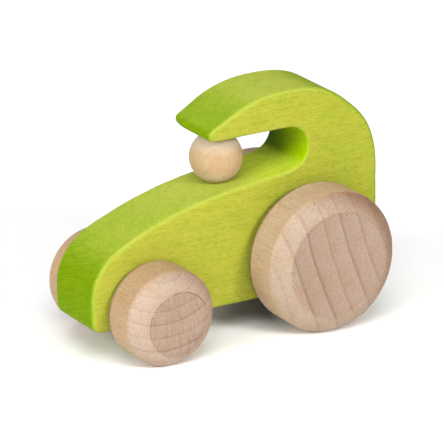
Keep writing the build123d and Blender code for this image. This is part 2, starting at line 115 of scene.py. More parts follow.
def evenly(points, spacing):
    """The same run of points, spaced evenly."""
    run = np.array(points, float)
    steps = np.linalg.norm(np.diff(run, axis=0), axis=1)
    along = np.concatenate([[0], np.cumsum(steps)])
    count = max(2, int(round(along[-1] / spacing)) + 1)
    places = np.linspace(0, along[-1], count)
    return np.stack([np.interp(places, along, run[:, axis]) for axis in (0, 1)], axis=1)


def roughen(bm, height, size, seed):
    """Moves the surface in and out a little, in waves of a size, as hand sanding leaves it."""
    bm.normal_update()
    shift = Vector((seed * 7.31, seed * 3.17, seed * 5.53))
    moves = [height * noise.noise(v.co / size + shift) for v in bm.verts]
    for vertex, move in zip(bm.verts, moves):
        vertex.co += vertex.normal * move


def lathe(profile, origin, axis, across, segments):
    """Turns a profile of (along the axis, radius) pairs into a closed solid."""
    bm = bmesh.new()
    third = axis.cross(across)
    rings = []
    for along, radius in profile:
        if radius < 1e-7:
            rings.append([bm.verts.new(origin + axis * along)])
            continue
        ring = []
        for step in range(segments):
            angle = 2 * math.pi * step / segments
            spoke = across * math.cos(angle) + third * math.sin(angle)
            ring.append(bm.verts.new(origin + axis * along + spoke * radius))
        rings.append(ring)
    for first, second in zip(rings, rings[1:]):
        for step in range(segments):
            corners = [
                first[step % len(first)],
                first[(step + 1) % len(first)],
                second[(step + 1) % len(second)],
                second[step % len(second)],
            ]
            bm.faces.new(list(dict.fromkeys(corners)))
    return bm


# ---------------------------------------------------------------- plank
# sizes and places in millimetres, with places along and above the car's axes
HALF_PLANK = 13.5
UNDERSIDE = 11.7
NOSE = 62.25
SLOT_RADIUS = 8.5
SLOT_END = (-22.6, 68.3)
SLOT_TURN = math.atan(0.12)
TIP_RADIUS = 2.2
TIP_CENTRE = (9.85, 79.0)
TIP_TURN = math.atan(0.5)
NOSE_BULGE = 0.27
NOSE_CORNER = 5.0
TAIL_CORNER = 6.0
# how far the roof's tip is worn back at its far corner, and how far the wear reaches
TIP_WEAR = 1.4
TIP_WEAR_LENGTH = 12.0
TIP_WEAR_START = 5.0
# how round the edges are rubbed, and by what share and over what length that varies
OUTER_ROUNDING = 1.75
SLOT_ROUNDING = 0.9
ROUNDING_WOBBLE = 0.18
WOBBLE_LENGTH = 9.0
# how fine the plank's mesh is
OUTLINE_SPACING = 0.9
SIDE_SPACING = 1.8
ROW_SPACING = 0.866
EDGE_STEPS = 7
ACROSS_STEPS = 18
SLOT_BLEND_PASSES = 10


def smooth_curve(points, start=None, end=None, steps=24):
    """A cubic spline through the points, with its end directions set or left free."""
    run = np.array(points, float)
    spans = np.linalg.norm(np.diff(run, axis=0), axis=1)
    count = len(run)
    matrix = np.zeros((count, count))
    right = np.zeros((count, 2))
    for i in range(1, count - 1):
        before, after = spans[i - 1], spans[i]
        matrix[i, i - 1:i + 2] = (after, 2 * (before + after), before)
        right[i] = 3 * (
            after * (run[i] - run[i - 1]) / before + before * (run[i + 1] - run[i]) / after
        )
    for row, other, slope, chord in (
        (0, 1, start, (run[1] - run[0]) / spans[0]),
        (count - 1, count - 2, end, (run[-1] - run[-2]) / spans[-1]),
    ):
        if slope is None:
            matrix[row, row], matrix[row, other] = 2, 1
            right[row] = 3 * chord
        else:
            matrix[row, row] = 1
            right[row] = np.array(slope) / np.linalg.norm(slope)
    slopes = np.linalg.solve(matrix, right)
    curve = []
    for i, span in enumerate(spans):
        for step in range(steps):
            t = step / steps
            curve.append(
                (2 * t**3 - 3 * t**2 + 1) * run[i]
                + (t**3 - 2 * t**2 + t) * span * slopes[i]
                + (-2 * t**3 + 3 * t**2) * run[i + 1]
                + (t**3 - t**2) * span * slopes[i + 1]
            )
    curve.append(run[-1])
    return [tuple(point) for point in curve]


def arc(centre, radius, first, last, steps=24):
    """Points on an arc, its ends given as angles from the nose's direction towards up."""
    angles = [first + (last - first) * step / steps for step in range(steps + 1)]
    return [(centre[0] + radius * math.cos(a), centre[1] + radius * math.sin(a)) for a in angles]


def plank_outline():
    """The plank's outline, anticlockwise from the nose's foot, and 1 where a point is in the slot."""
    quarter = math.pi / 2
    slot = arc(SLOT_END, SLOT_RADIUS, -quarter - SLOT_TURN, -3 * quarter)
    tip = arc(TIP_CENTRE, TIP_RADIUS, -quarter, quarter - TIP_TURN)
    nose_x = NOSE - NOSE_BULGE
    hood = smooth_curve([
        (nose_x, 20.0),
        (61.5, 29.0),
        (54.3, 40.1),
        (43.2, 46.1),
        (26.0, 52.2),
        (4.3, 56.7),
        slot[0],
    ])
    roof = smooth_curve(
        [
            tip[-1],
            (-6.0, 88.9),
            (-24.0, 91.2),
            (-40.0, 88.4),
            (-50.0, 81.6),
            (-57.6, 73.3),
            (-61.4, 63.0),
            (-NOSE, 50.0),
        ],
        start=(-1, 0.5),
        end=(0, -1),
    )
    tail_middle = (-NOSE + TAIL_CORNER, UNDERSIDE + TAIL_CORNER)
    tail_corner = arc(tail_middle, TAIL_CORNER, math.pi, 3 * quarter)
    nose_middle = (nose_x - NOSE_CORNER, UNDERSIDE + NOSE_CORNER)
    nose_corner = arc(nose_middle, NOSE_CORNER, -quarter, 0)
    stretches = [
        (hood, False),
        (slot + tip[:1], True),
        (tip + roof + tail_corner + nose_corner + hood[:1], False),
    ]
    points = []
    in_slot = []
    for stretch, is_slot in stretches:
        even = evenly(stretch, OUTLINE_SPACING)[:-1]
        points.extend(even)
        in_slot.extend([float(is_slot)] * len(even))
    in_slot = np.array(in_slot)
    for _ in range(SLOT_BLEND_PASSES):
        in_slot = (np.roll(in_slot, 1) + 2 * in_slot + np.roll(in_slot, -1)) / 4
    return np.array(points), in_slot


def outward_normals(points):
    """The outward direction at each point of a closed anticlockwise outline."""
    along = np.roll(points, -1, axis=0) - np.roll(points, 1, axis=0)
    along /= np.linalg.norm(along, axis=1)[:, None]
    return np.stack([along[:, 1], -along[:, 0]], axis=1)


def is_inside(loop, places):
    """Says which of the places are inside a closed loop."""
    crossings = np.zeros(len(places), int)
    for a, b in zip(loop, np.roll(loop, -1, axis=0)):
        if a[1] == b[1]:
            continue
        spans = (a[1] > places[:, 1]) != (b[1] > places[:, 1])
        meet = a[0] + (places[:, 1] - a[1]) * (b[0] - a[0]) / (b[1] - a[1])
        crossings += spans & (places[:, 0] < meet)
    return crossings % 2 == 1


def inside_points(loop, spacing):
    """A staggered grid of points inside a closed loop, clear of its edge."""
    low, high = loop.min(axis=0), loop.max(axis=0)
    grid = []
    for row, z in enumerate(np.arange(low[1], high[1], spacing * ROW_SPACING)):
        for x in np.arange(low[0] + spacing / 2 * (row % 2), high[0], spacing):
            grid.append((x, z))
    grid = np.array(grid)
    grid = grid[is_inside(loop, grid)]
    gap = np.array([np.min(np.linalg.norm(loop - point, axis=1)) for point in grid])
    return grid[gap > spacing * 0.6]


def smooth_step(value, low, high):
    share = min(1, max(0, (value - low) / (high - low)))
    return share * share * (3 - 2 * share)


def near_tip(x, z):
    """1 at the roof's tip, falling to 0 a little behind and below it."""
    along = smooth_step(x, TIP_CENTRE[0] - TIP_WEAR_LENGTH, TIP_CENTRE[0])
    return along * smooth_step(z, SLOT_END[1], TIP_CENTRE[1])


def edge_section(radius):
    """Inset, place across and turn of the plank's surface, from its far side to its near side."""
    turns = [math.pi / 2 * step / EDGE_STEPS for step in range(EDGE_STEPS + 1)]
    insets = [radius * (1 - math.cos(turn)) for turn in turns]
    places = [HALF_PLANK - radius * (1 - math.sin(turn)) for turn in turns]
    near = list(zip(insets, places, turns))
    far = [(inset, -place, turn) for inset, place, turn in reversed(near)]
    shares = [2 * step / ACROSS_STEPS - 1 for step in range(1, ACROSS_STEPS)]
    return far + [(0, share * (HALF_PLANK - radius), 0) for share in shares] + near


def plank_mesh():
    """The plank's surface, with its outer edges rubbed round and the roof's far corner worn."""
    points, in_slot = plank_outline()
    normals = outward_normals(points)
    bm = bmesh.new()
    edge_layer = bm.verts.layers.float.new("edge")
    slot_layer = bm.verts.layers.float.new("slot")
    columns = []
    for point, normal, slot_share in zip(points, normals, in_slot):
        wobble = 1 + ROUNDING_WOBBLE * noise.noise(Vector((point[0], point[1], 3.0)) / WOBBLE_LENGTH)
        radius = (OUTER_ROUNDING + (SLOT_ROUNDING - OUTER_ROUNDING) * slot_share) * wobble
        made = []
        for inset, y, turn in edge_section(radius):
            x, z = point - normal * inset
            x -= TIP_WEAR * near_tip(x, z) * smooth_step(-y, TIP_WEAR_START, HALF_PLANK)
            vertex = bm.verts.new(Vector((x, y, z)) * MM)
            vertex[edge_layer] = math.sin(2 * turn)
            vertex[slot_layer] = slot_share
            made.append(vertex)
        columns.append(made)
    for first, second in zip(columns, columns[1:] + columns[:1]):
        for row in range(len(first) - 1):
            bm.faces.new((first[row], second[row], second[row + 1], first[row + 1]))
    for end in (0, -1):
        fill_side(bm, [column[end] for column in columns])
    roughen(bm, 0.05 * MM, 14 * MM, seed=1)
    return bm


def fill_side(bm, rim):
    """Fills the flat side of the plank inside its rim with even triangles."""
    y = rim[0].co.y
    loop = np.array([(v.co.x, v.co.z) for v in rim]) / MM
    count = len(rim)
    inner = inside_points(loop, SIDE_SPACING)
    places = [Vector(p) for p in loop] + [Vector(p) for p in inner]
    border = [(i, (i + 1) % count) for i in range(count)]
    flat, _, faces, origins, _, _ = geometry.delaunay_2d_cdt(places, border, [], 0, 1e-6, True)
    middles = np.array([[sum(flat[i][axis] for i in face) / 3 for axis in (0, 1)] for face in faces])
    made = []
    for place, origin in zip(flat, origins):
        if origin[0] < count:
            made.append(rim[origin[0]])
        else:
            made.append(bm.verts.new((place.x * MM, y, place.y * MM)))
    for face, inside in zip(faces, is_inside(loop, middles)):
        if inside:
            bm.faces.new([made[i] for i in face])


# ---------------------------------------------------------------- cuts in the plank
CASE_CLEARANCE = 0.3 * MM
EAR_MIDDLE = 2.5 * MM
EAR_HALF_WIDTH = 4.8 * MM
EAR_TOP = 15.6 * MM
AXLE_SLOT_RADIUS = 2.0 * MM
AXLE_BORE_RADIUS = 3.08 * MM
# the cutters start below the plank and reach past both its sides
CUT_BELOW = -10 * MM
CUT_REACH = 20 * MM
CUTTER_SEGMENTS = 64


def box_cutter(low, high):
    bm = bmesh.new()
    bmesh.ops.create_cube(bm, size=1)
    for vertex in bm.verts:
        vertex.co = Vector([
            (a + b) / 2 + c * (b - a) for a, b, c in zip(low, high, vertex.co)
        ])
    return bm


def bore_cutter(centre, radius):
    ends = [(-CUT_REACH, 0), (-CUT_REACH, radius), (CUT_REACH, radius), (CUT_REACH, 0)]
    middle = Vector((centre.x, 0, centre.z))
    return lathe(ends, middle, Vector((0, 1, 0)), Vector((1, 0, 0)), CUTTER_SEGMENTS)


def cut(piece, bm):
    """Cuts the closed solid bm out of a piece."""
    bmesh.ops.recalc_face_normals(bm, faces=bm.faces)
    mesh = bpy.data.meshes.new("cutter")
    bm.to_mesh(mesh)
    bm.free()
    cutter = bpy.data.objects.new("cutter", mesh)
    bpy.context.scene.collection.objects.link(cutter)
    modifier = piece.modifiers.new("cut", "BOOLEAN")
    modifier.operation = "DIFFERENCE"
    modifier.solver = "EXACT"
    modifier.object = cutter
    depsgraph = bpy.context.evaluated_depsgraph_get()
    result = bpy.data.meshes.new_from_object(piece.evaluated_get(depsgraph))
    piece.modifiers.clear()
    piece.data = result
    bpy.data.objects.remove(cutter)


def make_plank():
    """The plank with the motor's pocket, the ears' recess, the rear axle's slot and the front bore."""
    piece = new_piece("plank", plank_mesh(), "body", "car_body")
    left_low, left_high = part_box("motor_case_left")
    right_low, right_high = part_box("motor_case_right")
    rear = node_centre("rear_axle")
    front = node_centre("front_axle")
    half_case = left_high[1] + CASE_CLEARANCE
    cut(piece, box_cutter(
        (right_low[0] - CASE_CLEARANCE, -half_case, CUT_BELOW),
        (right_high[0] + CASE_CLEARANCE, half_case, right_high[2] + CASE_CLEARANCE),
    ))
    cut(piece, box_cutter(
        (left_low[0] - CASE_CLEARANCE, EAR_MIDDLE - EAR_HALF_WIDTH, CUT_BELOW),
        (left_high[0] + CASE_CLEARANCE, EAR_MIDDLE + EAR_HALF_WIDTH, EAR_TOP),
    ))
    cut(piece, box_cutter(
        (rear.x - AXLE_SLOT_RADIUS, -CUT_REACH, CUT_BELOW),
        (rear.x + AXLE_SLOT_RADIUS, CUT_REACH, rear.z),
    ))
    cut(piece, bore_cutter(rear, AXLE_SLOT_RADIUS))
    cut(piece, bore_cutter(front, AXLE_BORE_RADIUS))
    shade(piece)
    return piece


# ---------------------------------------------------------------- wheels
WHEEL_SEGMENTS = 150
PROFILE_SPACING = 0.4
PROFILE_PASSES = 4
BEVEL_STEPS = 24
BEVEL_BULGE = 1.1
BORE_DEPTH = 11.0
# the inner face counts as flat up to this far round its rim
INNER_RIM = 1.1
RIM_UNEVENNESS = 0.5
# widths of the tread and of the whole wheel, radius of the flat face, bore radius
FRONT_TURNING = (12.8, 17.4, 11.0, 3.0)
REAR_TURNING = (13.2, 18.8, 20.3, 1.5)


def wheel_profile(inner, radius, turning):
    """A turned wheel's section, from the bottom of its bore round to the middle of its face."""
    tread_width, width, flat_radius, bore = turning
    outer = inner + width
    start, end = np.array((inner + tread_width, radius)), np.array((outer, flat_radius))
    chord = end - start
    outwards = np.array((-chord[1], chord[0])) / np.linalg.norm(chord)
    bevel = []
    for step in range(BEVEL_STEPS + 1):
        t = step / BEVEL_STEPS
        bevel.append(tuple(start + chord * t + outwards * BEVEL_BULGE * 4 * t * (1 - t)))
    outside = [(inner, bore), (inner, radius)] + bevel + [(outer, 0)]
    outside = soften(evenly(outside, PROFILE_SPACING), PROFILE_PASSES)
    return [(inner + BORE_DEPTH, 0), (inner + BORE_DEPTH, bore)] + [tuple(p) for p in outside]


def mark_faces(bm, centre, inner, flat_radius, off_centre, rim_width):
    """Marks each point of a wheel: 1 on its two flat faces, falling to 0 at an uneven rim."""
    layer = bm.verts.layers.float.new("face")
    for vertex in bm.verts:
        place = (vertex.co - centre) / MM
        radius = math.hypot(place.x + off_centre, place.z + off_centre)
        radius += RIM_UNEVENNESS * noise.noise(place / 3)
        rim = smooth_step(radius, flat_radius - rim_width / 2, flat_radius + rim_width / 2)
        vertex[layer] = 1.0 if abs(place.y) < inner + INNER_RIM else 1 - rim


def make_wheel(name, body, side, turning, off_centre, rim_width, seed):
    low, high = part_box(name)
    centre = node_centre(name)
    inner = min(abs(low[1]), abs(high[1])) / MM
    radius = (high[2] - low[2]) / 2 / MM
    profile = [(along * MM, max(0, r) * MM) for along, r in wheel_profile(inner, radius, turning)]
    middle = Vector((centre.x, 0, centre.z))
    bm = lathe(profile, middle, Vector((0, side, 0)), Vector((1, 0, 0)), WHEEL_SEGMENTS)
    roughen(bm, 0.05 * MM, 9 * MM, seed)
    mark_faces(bm, middle, inner, turning[2] + off_centre, off_centre, rim_width)
    return new_piece(name.replace("wheel", "turned_wheel"), bm, body, name)


# ---------------------------------------------------------------- driver's head
HEAD_STEPS = 90
HEAD_SEGMENTS = 120
# the head's foot is sanded flat to the hood's slope, a little deeper than the ball touches it
FOOT_DEPTH = 0.25 * MM
HOOD_SLOPE = 0.16


def make_head():
    low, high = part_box("driver_head")
    radius = (high[0] - low[0]) / 2
    centre = Vector(((low[0] + high[0]) / 2, 0, high[2] - radius))
    profile = []
    for step in range(HEAD_STEPS + 1):
        angle = math.pi * step / HEAD_STEPS
        profile.append((-radius * math.cos(angle), max(0, radius * math.sin(angle))))
    profile[0] = (-radius, 0)
    profile[-1] = (radius, 0)
    bm = lathe(profile, centre, Vector((0, 0, 1)), Vector((1, 0, 0)), HEAD_SEGMENTS)
    foot = Vector((centre.x, 0, low[2] + FOOT_DEPTH))
    up = Vector((HOOD_SLOPE, 0, 1)).normalized()
    for vertex in bm.verts:
        depth = (vertex.co - foot).dot(up)
        if depth < 0:
            vertex.co -= up * depth
    roughen(bm, 0.03 * MM, 6 * MM, seed=9)
    return new_piece("head_ball", bm, "body", "driver_head")


# ---------------------------------------------------------------- material helpers
# how far the growth rings swing in long and in short waves, and how the stained layers slope
RING_WANDER = 1.6
RING_JITTER = 0.35
LAYER_TILT = 0.38


class Graph:
    """Builds a material's nodes: every input is a number, a colour or another node's output."""

    def __init__(self, name):
        self.material = bpy.data.materials.new(name)
        self.material.use_nodes = True
        self.tree = self.material.node_tree
        self.tree.nodes.clear()
        output = self.tree.nodes.new("ShaderNodeOutputMaterial")
        self.shader = self.tree.nodes.new("ShaderNodeBsdfPrincipled")
        self.tree.links.new(self.shader.outputs[0], output.inputs["Surface"])

    def set(self, node, key, value):
        """Links an input to another node's output, or gives it a number or a colour."""
        socket = node.inputs[key]
        if isinstance(value, bpy.types.NodeSocket):
            self.tree.links.new(value, socket)
        elif isinstance(value, tuple) and len(value) == 3 and socket.type == "RGBA":
            socket.default_value = (*value, 1)
        else:
            socket.default_value = value

    def node(self, kind, inputs=None, **settings):
        node = self.tree.nodes.new("ShaderNode" + kind)
        for key, value in settings.items():
            setattr(node, key, value)
        for key, value in (inputs or {}).items():
            self.set(node, key, value)
        return node

    def math(self, operation, first, second=0.0, third=0.0):
        return self.node("Math", {0: first, 1: second, 2: third}, operation=operation).outputs[0]

    def vector(self, x, y, z):
        return self.node("CombineXYZ", {0: x, 1: y, 2: z}).outputs[0]

    def noise(self, vector, scale=1.0, detail=3.0, roughness=0.55, distortion=0.0):
        inputs = {
            "Vector": vector,
            "Scale": scale,
            "Detail": detail,
            "Roughness": roughness,
            "Distortion": distortion,
        }
        return self.node("TexNoise", inputs).outputs["Fac"]

    def ramp(self, value, low, high, start=0.0, end=1.0):
        """Maps low..high to start..end, smoothly and no further."""
        inputs = {"Value": value, "From Min": low, "From Max": high, "To Min": start, "To Max": end}
        return self.node("MapRange", inputs, interpolation_type="SMOOTHSTEP").outputs[0]

    def mix(self, share, first, second, blend="MIX"):
        node = self.node("Mix", data_type="RGBA", blend_type=blend)
        self.set(node, 0, share)
        self.set(node, 6, first)
        self.set(node, 7, second)
        return node.outputs[2]

    def bump(self, height, distance, strength=1.0):
        inputs = {"Height": height, "Distance": distance, "Strength": strength}
        return self.node("Bump", inputs).outputs[0]


def grain(graph, along, pith, spacing, seed, first_ring):
    """Wood as a solid: where a point is in the growth rings, fibres, pores and rays, in millimetres.

    along is the axis the fibres follow, pith is where the tree's middle is on the other two axes, and
    the rings are spacing apart, counted from first_ring. The pores are the finest streaks, and the
    layers are the thin bands that show where stained fibres end.
    """
    coordinates = graph.node("TexCoord")
    in_mm = {0: coordinates.outputs["Object"], 1: (1 / MM, 1 / MM, 1 / MM)}
    scaled = graph.node("VectorMath", in_mm, operation="MULTIPLY")
    parts = graph.node("SeparateXYZ", {0: scaled.outputs[0]}).outputs
    facing = graph.node("SeparateXYZ", {0: coordinates.outputs["Normal"]}).outputs
    others = [axis for axis in range(3) if axis != along]
    fibre = parts[along]
    p = graph.math("SUBTRACT", parts[others[0]], pith[0])
    q = graph.math("SUBTRACT", parts[others[1]], pith[1])

    def place(along_scale, across_scale, offset=0.0):
        return graph.vector(
            graph.math("MULTIPLY_ADD", fibre, along_scale, seed + offset),
            graph.math("MULTIPLY", p, across_scale),
            graph.math("MULTIPLY", q, across_scale),
        )

    def swing(noise, reach):
        return graph.math("MULTIPLY", graph.math("SUBTRACT", noise, 0.5), reach)

    squares = graph.math("ADD", graph.math("MULTIPLY", p, p), graph.math("MULTIPLY", q, q))
    distance = graph.math("SQRT", squares)
    wander = swing(graph.noise(place(0.012, 0.06), detail=1.0), RING_WANDER)
    jitter = swing(graph.noise(place(0.05, 0.7, 7.0), detail=2.0), RING_JITTER)
    wavy = graph.math("ADD", graph.math("ADD", distance, wander), jitter)
    ring = graph.math("DIVIDE", graph.math("SUBTRACT", wavy, first_ring), spacing)
    phase = graph.math("FRACT", ring)
    number = graph.math("FLOOR", ring)
    strength = graph.node("TexWhiteNoise", {"W": number}, noise_dimensions="1D").outputs["Value"]
    rise = graph.ramp(phase, 0.78, 0.92)
    fall = graph.ramp(phase, 0.94, 1.0, 1.0, 0.0)
    line = graph.math("MULTIPLY", graph.math("MULTIPLY", rise, fall), 0.6)
    late = graph.math("MULTIPLY_ADD", phase, 0.4, line)
    late = graph.math("MULTIPLY", late, graph.ramp(strength, 0.0, 1.0, 0.6, 1.0))
    angle = graph.math("ARCTAN2", q, p)
    ray_place = graph.vector(
        graph.math("MULTIPLY", angle, 2.2 * first_ring),
        graph.math("MULTIPLY", distance, 0.10),
        graph.math("MULTIPLY_ADD", fibre, 0.10, seed),
    )
    layer_place = graph.vector(
        graph.math("MULTIPLY", p, 0.14),
        graph.math("MULTIPLY", graph.math("MULTIPLY_ADD", p, -LAYER_TILT, q), 1.7),
        graph.math("MULTIPLY_ADD", fibre, 0.3, seed),
    )
    return {
        "late": late,
        "fibres": graph.noise(place(0.10, 1.1, 1.0), detail=4.0, roughness=0.60),
        "fine": graph.noise(place(0.30, 2.2, 2.0), detail=3.0, roughness=0.6),
        "pores": graph.noise(place(0.60, 1.9, 3.0), detail=3.0, roughness=0.6),
        "blotch": graph.noise(place(0.10, 0.14, 4.0), detail=3.0),
        "speckle": graph.noise(place(1.3, 2.4, 5.0), detail=2.0, roughness=0.7),
        "rays": graph.noise(ray_place, detail=2.0, roughness=0.5),
        "layers": graph.noise(layer_place, detail=3.0, roughness=0.6),
        "fibre": fibre,
        "across": parts[1],
        "height": parts[2],
        "end": graph.math("ABSOLUTE", facing[along]),
        "back": graph.math("MULTIPLY", facing[0], -1.0),
        "facing": facing,
    }


# ---------------------------------------------------------------- stained wood
# colours of the stain on the sides, on top, where the fibres slant and end and on the roof's tip, the
# painted light and painted shade in the slot, the painted light on the slot's foot, and the worn edges'
# colour, which is also a painted highlight
SIDE_STAIN = (0.410, 0.400, 0.050)
TOP_STAIN = (0.440, 0.468, 0.072)
SLANT_STAIN = (0.308, 0.388, 0.030)
END_STAIN = (0.190, 0.295, 0.0003)
TIP_STAIN = (0.215, 0.340, 0.0003)
# painted light and painted shade for the slot's end wall
SLOT_PAINTED_LIGHT = (0.405, 0.560, 0.001)
SLOT_PAINTED_SHADE = (0.096, 0.160, 0.008)
# painted light for the slot's floor
FOOT_PAINTED_LIGHT = (0.540, 0.610, 0.042)
# colour of the worn edges, which also holds a painted highlight
EDGE_WEAR_AND_HIGHLIGHT = (0.385, 0.425, 0.060)
GREEN_BLOTCH = (0.86, 0.96, 0.84)
DARK_FIBRE = (0.66, 0.74, 0.46)


def darken(graph, colour, share, amount, tint):
    """Multiplies the colour by a tint, by a share that varies over the surface."""
    return graph.mix(graph.math("MULTIPLY", share, amount), colour, tint, "MULTIPLY")


def stained_wood():
    graph = Graph("stained_wood")
    wood = grain(graph, along=0, pith=(-46.0, -150.0), spacing=3.4, seed=11.0, first_ring=150.0)
    end = wood["end"]
    up = graph.math("MAXIMUM", wood["facing"][2], 0.0)
    colour = graph.mix(graph.ramp(up, 0.3, 0.95), SIDE_STAIN, TOP_STAIN)
    tilt = graph.math("MAXIMUM", end, graph.math("MULTIPLY", wood["back"], 1.5))
    colour = graph.mix(graph.ramp(tilt, 0.10, 0.55), colour, SLANT_STAIN)
    colour = graph.mix(graph.ramp(end, 0.50, 0.98), colour, END_STAIN)
    tip = graph.ramp(wood["height"], SLOT_END[1], 74.0)
    tip = graph.math("MULTIPLY", graph.ramp(tilt, 0.10, 0.50), tip)
    tip = graph.math("MULTIPLY", tip, graph.ramp(wood["fibre"], -14.0, TIP_CENTRE[0], 0.0, 0.5))
    colour = graph.mix(tip, colour, TIP_STAIN)
    # painted light and shade in the slot: its end wall is painted bright towards the near side, where
    # light comes in, and dark towards the far side and top, where shade falls
    slot = graph.node("Attribute", attribute_name="slot").outputs["Fac"]
    near = graph.ramp(wood["across"], -HALF_PLANK, 0.6 * HALF_PLANK)
    slot_light_and_shade = graph.mix(near, SLOT_PAINTED_SHADE, SLOT_PAINTED_LIGHT)
    colour = graph.mix(graph.math("MULTIPLY", slot, graph.ramp(end, 0.3, 0.8)), colour, slot_light_and_shade)
    # painted light on the slot's floor under the roof, lifting the shade the roof casts there
    foot = graph.ramp(wood["fibre"], SLOT_END[0], 2.0, 1.0, 0.0)
    foot = graph.math("MULTIPLY", graph.ramp(up, 0.6, 0.95), foot)
    foot = graph.math("MULTIPLY", foot, graph.ramp(wood["height"], SLOT_END[1], TIP_CENTRE[1], 1.0, 0.0))
    colour = graph.mix(foot, colour, FOOT_PAINTED_LIGHT)

    # the colour darkens towards the tail, and the stain stands in soft green patches
    tailward = graph.ramp(wood["fibre"], -NOSE, NOSE, 0.75, 0.0)
    colour = darken(graph, colour, tailward, 0.5, DARK_FIBRE)
    colour = darken(graph, colour, graph.ramp(wood["blotch"], 0.38, 0.64), 0.6, GREEN_BLOTCH)
    lines = graph.math("MULTIPLY", graph.ramp(wood["layers"], 0.42, 0.64), graph.ramp(end, 0.2, 0.8))
    lines = graph.math("MULTIPLY", lines, graph.ramp(slot, 0.0, 1.0, 1.0, 0.3))
    colour = darken(graph, colour, lines, 0.60, DARK_FIBRE)
    colour = darken(graph, colour, graph.ramp(wood["fibres"], 0.44, 0.66), 0.30, DARK_FIBRE)
    colour = darken(graph, colour, graph.ramp(wood["fine"], 0.44, 0.64), 0.38, DARK_FIBRE)
    colour = darken(graph, colour, graph.ramp(wood["pores"], 0.46, 0.64), 0.40, DARK_FIBRE)
    colour = darken(graph, colour, wood["late"], 0.16, DARK_FIBRE)

    # the rounded edges took less stain, in a fuzzy band, and the band is also a painted highlight: it
    # fades on the end grain and on edges that face the tail
    edge = graph.node("Attribute", attribute_name="edge").outputs["Fac"]
    rubbed_and_highlit = graph.ramp(graph.math("MULTIPLY_ADD", wood["speckle"], 1.6, edge), 1.15, 1.95)
    rubbed_and_highlit = graph.math("MULTIPLY", rubbed_and_highlit, graph.ramp(end, 0.35, 0.80, 0.9, 0.35))
    rubbed_and_highlit = graph.math("MULTIPLY", rubbed_and_highlit, graph.ramp(wood["facing"][0], -0.35, -0.05, 0.15, 1.0))
    colour = graph.mix(rubbed_and_highlit, colour, EDGE_WEAR_AND_HIGHLIGHT)

    # and hold specks of it in their pores
    held = graph.math("MULTIPLY", graph.ramp(edge, 0.2, 0.8), graph.ramp(wood["speckle"], 0.42, 0.60))
    colour = darken(graph, colour, held, 0.45, DARK_FIBRE)
    height = graph.math("MULTIPLY_ADD", wood["fine"], 0.6, wood["fibres"])
    graph.set(graph.shader, "Base Color", colour)
    graph.set(graph.shader, "Roughness", graph.math("MULTIPLY_ADD", wood["fibres"], 0.22, 0.52))
    graph.set(graph.shader, "Normal", graph.bump(height, 0.00012, 0.6))
    graph.set(graph.shader, "Specular IOR Level", 0.03)
    return graph.material


# ---------------------------------------------------------------- natural wood
# colours of the sides, of the slanted stretches and of the ends of the fibres
REAR_WOOD = ((0.463, 0.341, 0.226), (0.396, 0.314, 0.234), (0.352, 0.257, 0.196))
FRONT_WOOD = ((0.430, 0.296, 0.174), (0.430, 0.335, 0.255), (0.368, 0.268, 0.203))
# the head's slanted colour is partly a painted highlight on its crown
BALL_WOOD_AND_HIGHLIGHT = ((0.456, 0.316, 0.173), (0.600, 0.505, 0.385), (0.445, 0.360, 0.280))
LATE_WOOD = (0.70, 0.65, 0.62)
DARK_WOOD = (0.80, 0.72, 0.64)
RED_BLOTCH = (0.97, 0.90, 0.84)
# painted shade on the wheels' bevel where it faces the tail
TAIL_SIDE_SHADE = (0.64, 0.46, 0.40)
TORN = (0.50, 0.38, 0.32)


